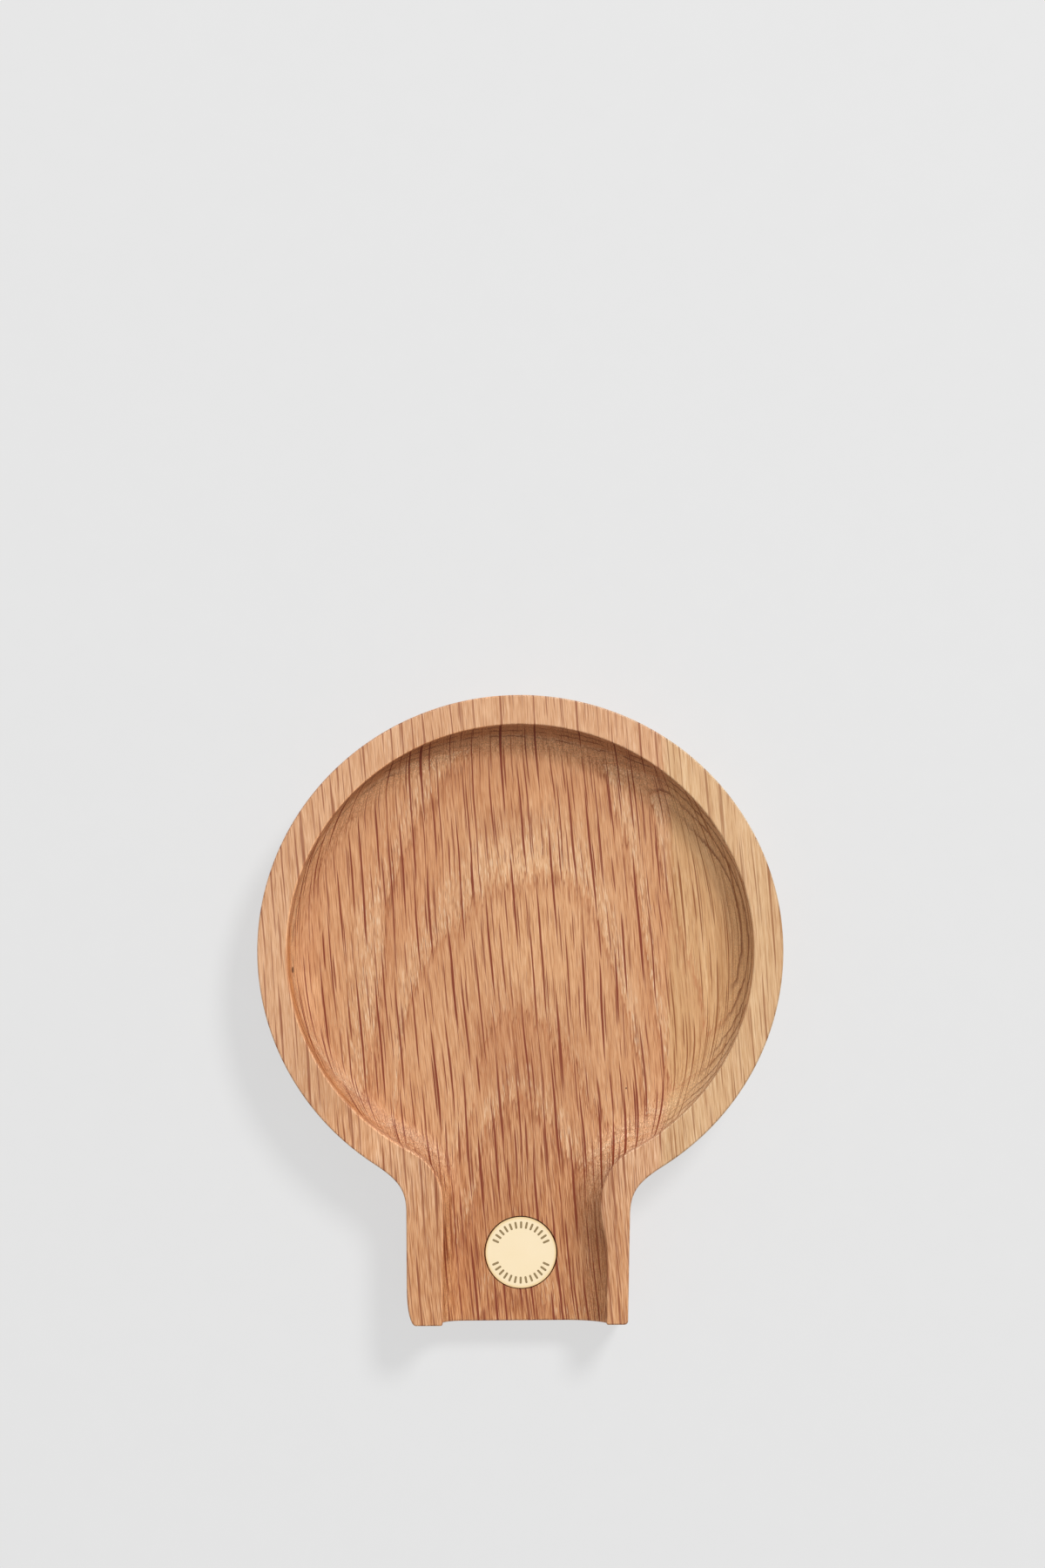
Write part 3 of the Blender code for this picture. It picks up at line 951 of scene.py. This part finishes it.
end_grain = fade(tree, reckon(tree, "ABSOLUTE", facing_y), *END_GRAIN_SPAN)
end_grain = reckon(tree, "MAXIMUM", end_grain, reckon(tree, "MULTIPLY", steep, STIPPLE_ON_WALL))
stipple = swing(tree, cloud(tree, along_grain, *STIPPLE), STIPPLE_SHARE)
stipple = reckon(tree, "MULTIPLY_ADD", stipple, end_grain, 1.0)
colour = tint(tree, 1.0, colour, join(tree, stipple, stipple, stipple), "MULTIPLY")
feed(tree, shader.inputs["Base Color"], colour)

# The oiled surface: matt, with the pores and the wide rays a little sunk.
OAK_ROUGHNESS = 0.56
OAK_ROUGHNESS_SWING = 0.12
OAK_GLOSS = 0.35
GRAIN_RELIEF = 0.35
GRAIN_DEPTH = 0.08 * MM
STREAK_HEIGHT = 0.5
RAY_HEIGHT = -0.5

vary_roughness(tree, shader, streak, OAK_ROUGHNESS, OAK_ROUGHNESS_SWING)
height = reckon(tree, "SUBTRACT", reckon(tree, "MULTIPLY", streak, STREAK_HEIGHT), shown_pore)
height = reckon(tree, "MULTIPLY_ADD", ray_marks[0], RAY_HEIGHT, height)
add_relief(tree, shader, height, GRAIN_RELIEF, GRAIN_DEPTH)
shader.inputs["Specular IOR Level"].default_value = OAK_GLOSS

oak_rest.data.materials.clear()
oak_rest.data.materials.append(oiled_oak)
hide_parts("oak_body")
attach(oak_rest, "root")


# The brass disc. A round blank parted off a bar, its edge broken, its face brushed, and a ring
# of short strokes cut into it. It is glued into its pocket, its face a hair above the floor.
DISC_DIAMETER = 16.5 * MM
DISC_TOP = 9.1 * MM
DISC_BOTTOM = 7.1 * MM
DISC_EDGE_ROUND = 0.22 * MM
DISC_EDGE_SEGMENTS = 4
DISC_STEPS = 160
STROKE_INNER = 5.55 * MM
STROKE_OUTER = 7.20 * MM
STROKE_WIDTH = 0.50 * MM
STROKE_DEPTH = 0.12 * MM
STROKES = 13
STROKE_ARC = math.radians(132)
STROKE_END_STEPS = 6

BRASS = (0.977, 0.816, 0.567, 1)
BRASS_WARM = (0.961, 0.782, 0.508, 1)
BRUSHING = ((6, 0.08, 6), 2.3, 3.0)
HAZE = ((5, 5, 5), 9.1, 2.0)
BRASS_ROUGHNESS = 0.32
BRASS_ROUGHNESS_SWING = 0.08
BRUSHING_RELIEF = 0.15
BRUSHING_DEPTH = 0.02 * MM
# The rounded edge is painted a darker gold, from this far off the disc's middle, in mm: painted
# shade for the darker reflection of a rounded edge, which also damps its highlight.
EDGE_SHADE_BRASS = (0.850, 0.610, 0.285, 1)
EDGE_SHADE_SPAN = (7.45, 8.15)
EDGE_SHADE_SHARE = 0.7
# The strokes' floors are dull and stained.
CUT_BRASS = (0.380, 0.255, 0.105, 1)
CUT_STAIN = ((0.4 * MM, 0.4 * MM, 0.4 * MM), 1.9, 2.0)
CUT_SHARE = 0.7
CUT_METAL_SHARE = 0.6
CUT_ROUGHNESS = 0.5
CUT_ROUGHNESS_SWING = 0.1


def stroke_outline():
    """The plan of one stroke, round at both ends, lying along x from the disc's middle."""
    half = STROKE_WIDTH / 2
    points = []
    for end, turned in ((STROKE_OUTER - half, 0.0), (STROKE_INNER + half, math.pi)):
        for step in range(STROKE_END_STEPS + 1):
            turn = turned - math.pi / 2 + math.pi * step / STROKE_END_STEPS
            points.append((end + half * math.cos(turn), half * math.sin(turn)))
    return points


def stroke_cutter(name, angles):
    """One mesh with a stroke's slot at each angle."""
    shape = bmesh.new()
    for angle in angles:
        rows = []
        for z in (DISC_TOP - STROKE_DEPTH, DISC_TOP + STROKE_DEPTH):
            points = []
            for along, beside in stroke_outline():
                spun_x = DISC_X + along * math.cos(angle) - beside * math.sin(angle)
                spun_y = DISC_Y + along * math.sin(angle) + beside * math.cos(angle)
                points.append((spun_x, spun_y, z))
            rows.append(corners(shape, points))
        shape.faces.new(rows[0][::-1])
        shape.faces.new(rows[1])
        bridge(shape, rows[0] + rows[0][:1], rows[1] + rows[1][:1])
    bmesh.ops.recalc_face_normals(shape, faces=shape.faces)
    mesh = bpy.data.meshes.new(name)
    shape.to_mesh(mesh)
    shape.free()
    return shown(name, mesh)


def stroke_angles():
    """Two arcs of strokes, above and below, with a rest between them at either side."""
    angles = []
    for middle_angle in (math.pi / 2, -math.pi / 2):
        for step in range(STROKES):
            angles.append(middle_angle + STROKE_ARC * (step / (STROKES - 1) - 0.5))
    return angles


brushed_brass, tree, shader = new_finish("satin_brass")
place = place_in_mm(tree)
brushing = cloud(tree, place, *BRUSHING)
colour = tint(tree, cloud(tree, place, *HAZE), BRASS, BRASS_WARM)
from_middle = add_node(tree, "VectorMath", operation="DISTANCE")
feed(tree, from_middle.inputs[0], place)
from_middle.inputs[1].default_value = (DISC_X / MM, DISC_Y / MM, DISC_TOP / MM)
# Painted shade: the disc's rounded edge is made a darker gold.
edge_shade = fade(tree, from_middle.outputs["Value"], *EDGE_SHADE_SPAN)
colour = tint(tree, reckon(tree, "MULTIPLY", edge_shade, EDGE_SHADE_SHARE), colour, EDGE_SHADE_BRASS)
feed(tree, shader.inputs["Base Color"], colour)
shader.inputs["Metallic"].default_value = 1.0
vary_roughness(tree, shader, brushing, BRASS_ROUGHNESS, BRASS_ROUGHNESS_SWING)
add_relief(tree, shader, brushing, BRUSHING_RELIEF, BRUSHING_DEPTH)

stroke_brass, tree, shader = new_finish("stroke_brass")
stain = cloud(tree, add_node(tree, "TexCoord").outputs["Object"], *CUT_STAIN)
colour = tint(tree, stain, CUT_BRASS, BRASS_WARM)
feed(tree, shader.inputs["Base Color"], tint(tree, CUT_SHARE, colour, CUT_BRASS))
shader.inputs["Metallic"].default_value = CUT_METAL_SHARE
vary_roughness(tree, shader, stain, CUT_ROUGHNESS, CUT_ROUGHNESS_SWING)

brass_inlay = turned_blank("brass_inlay", DISC_DIAMETER, DISC_BOTTOM, DISC_TOP, DISC_STEPS)
brass_inlay.data.materials.append(brushed_brass)
brass_inlay.data.materials.append(stroke_brass)
round_edges(brass_inlay, DISC_EDGE_ROUND, DISC_EDGE_SEGMENTS)
strokes = stroke_cutter("strokes", stroke_angles())
strokes.data.materials.append(stroke_brass)
cut_out(brass_inlay, strokes, "TRANSFER")
settle(brass_inlay, [strokes])
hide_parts("brass_disc")
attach(brass_inlay, "root")


# The bonding film. A thin sheet of clear transfer adhesive, punched a little smaller than the
# disc and pressed between it and the bottom of its pocket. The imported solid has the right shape.
FILM = (0.82, 0.80, 0.72, 1)
FILM_CLOUDED = (0.74, 0.71, 0.60, 1)
FILM_CLOUDS = ((2 * MM, 2 * MM, 2 * MM), 4.4, 3.0)
FILM_ROUGHNESS = 0.55
FILM_ROUGHNESS_SWING = 0.15

film, tree, shader = new_finish("bonding_film")
clouding = cloud(tree, add_node(tree, "TexCoord").outputs["Object"], *FILM_CLOUDS)
feed(tree, shader.inputs["Base Color"], tint(tree, clouding, FILM, FILM_CLOUDED))
vary_roughness(tree, shader, clouding, FILM_ROUGHNESS, FILM_ROUGHNESS_SWING)
film_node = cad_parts["bonding_film"]
film_node.material_slots[0].material = film


# The table. A wide sheet of matt grey-white board, lit so evenly that only the soft shadow of
# the rest shows on it. It isn't part of the object, and lies a hair below it.
TABLE_REACH = 3.0
TABLE_GAP = 0.05 * MM
TABLE_GREY = 0.772
TABLE_MOTTLE = ((6 * MM, 6 * MM, 6 * MM), 3.3, 4.0)
TABLE_MOTTLE_REACH = 0.006
TABLE_ROUGHNESS = 0.9
TABLE_GLOW_SHARE = 0.82

shape = bmesh.new()
bmesh.ops.create_grid(shape, x_segments=2, y_segments=2, size=TABLE_REACH)
table_mesh = bpy.data.meshes.new("table")
shape.to_mesh(table_mesh)
shape.free()
table = shown("table", table_mesh)
table.location.z = -TABLE_GAP

board, tree, shader = new_finish("table_board")
mottle = cloud(tree, add_node(tree, "TexCoord").outputs["Object"], *TABLE_MOTTLE)
paper = reckon(tree, "ADD", swing(tree, mottle, TABLE_MOTTLE_REACH), TABLE_GREY)
paper = join(tree, paper, paper, paper)
feed(tree, shader.inputs["Base Color"], paper)
shader.inputs["Roughness"].default_value = TABLE_ROUGHNESS
shader.inputs["Specular IOR Level"].default_value = 0.0
glow = add_node(tree, "Emission")
feed(tree, glow.inputs["Color"], paper)
seen = add_node(tree, "LightPath").outputs["Is Camera Ray"]
mixed = add_node(tree, "MixShader")
feed(tree, mixed.inputs[0], reckon(tree, "MULTIPLY", seen, TABLE_GLOW_SHARE))
feed(tree, mixed.inputs[1], shader.outputs[0])
feed(tree, mixed.inputs[2], glow.outputs[0])
feed(tree, tree.nodes["Material Output"].inputs["Surface"], mixed.outputs[0])
table.data.materials.append(board)


# The light. A small window up and to the right draws the shadow's outline, a broad bright sky
# beside it shades the bowl softly, and a pale room all round fills in.
LAMP_DISTANCE = 2.4
WINDOW_ZENITH = math.radians(42)
WINDOW_TURN = math.radians(34)
WINDOW_SIZE = 0.60
WINDOW_POWER = 20.0
TABLE_WINDOW_POWER = 60.0
SKY_ZENITH = math.radians(40)
SKY_TURN = math.radians(18)
SKY_SIZE = 3.0
SKY_POWER = 39.2
ROOM_LIGHT = 0.36
ROOM_SEEN = 0.80
ROOM_REFLECTED = 1.0


def round_lamp(name, zenith, turn, size, power, lit):
    """A round lamp for one piece, this far down from overhead and this far round."""
    light = bpy.data.lights.new(name, "AREA")
    light.shape = "DISK"
    light.size = size
    light.energy = power
    lamp = bpy.data.objects.new(name, light)
    level = LAMP_DISTANCE * math.sin(zenith)
    lamp.location = (level * math.sin(turn), level * math.cos(turn), LAMP_DISTANCE * math.cos(zenith))
    lamp.rotation_euler = (-zenith, 0, -turn)
    bpy.context.scene.collection.objects.link(lamp)
    lamp.light_linking.receiver_collection = bpy.data.collections.new(name + "_lights")
    lamp.light_linking.receiver_collection.objects.link(lit)


# The disc mirrors the pale room alone, so that it looks like brass from every side.
round_lamp("window", WINDOW_ZENITH, WINDOW_TURN, WINDOW_SIZE, WINDOW_POWER, oak_rest)
round_lamp("sky", SKY_ZENITH, SKY_TURN, SKY_SIZE, SKY_POWER, oak_rest)
round_lamp("table_window", WINDOW_ZENITH, WINDOW_TURN, WINDOW_SIZE, TABLE_WINDOW_POWER, table)

room = bpy.data.worlds.new("room")
bpy.context.scene.world = room
room.use_nodes = True
tree = room.node_tree
backdrop = tree.nodes["Background"]
light_path = add_node(tree, "LightPath")
strength = reckon(
    tree, "MULTIPLY_ADD", light_path.outputs["Is Camera Ray"], ROOM_SEEN - ROOM_LIGHT, ROOM_LIGHT
)
mirrored_rays = reckon(
    tree, "MAXIMUM", light_path.outputs["Is Glossy Ray"], light_path.outputs["Is Transmission Ray"]
)
strength = reckon(tree, "MULTIPLY_ADD", mirrored_rays, ROOM_REFLECTED - ROOM_LIGHT, strength)
backdrop.inputs["Color"].default_value = (1, 1, 1, 1)
feed(tree, backdrop.inputs["Strength"], strength)


# The camera. It looks straight down on the rest from just under a metre, a hair out of square.
CAMERA_PLACE = (0.2 * MM, 51.93 * MM, 943 * MM)
CAMERA_TURN = math.radians(0.46)
LENS = 92.9
SENSOR_WIDTH = 36

lens = bpy.data.cameras.new("camera")
lens.lens = LENS
lens.sensor_width = SENSOR_WIDTH
camera = bpy.data.objects.new("camera", lens)
camera.location = CAMERA_PLACE
camera.rotation_euler = (0, 0, CAMERA_TURN)
bpy.context.scene.collection.objects.link(camera)
bpy.context.scene.camera = camera
bpy.context.scene.view_settings.view_transform = "Standard"
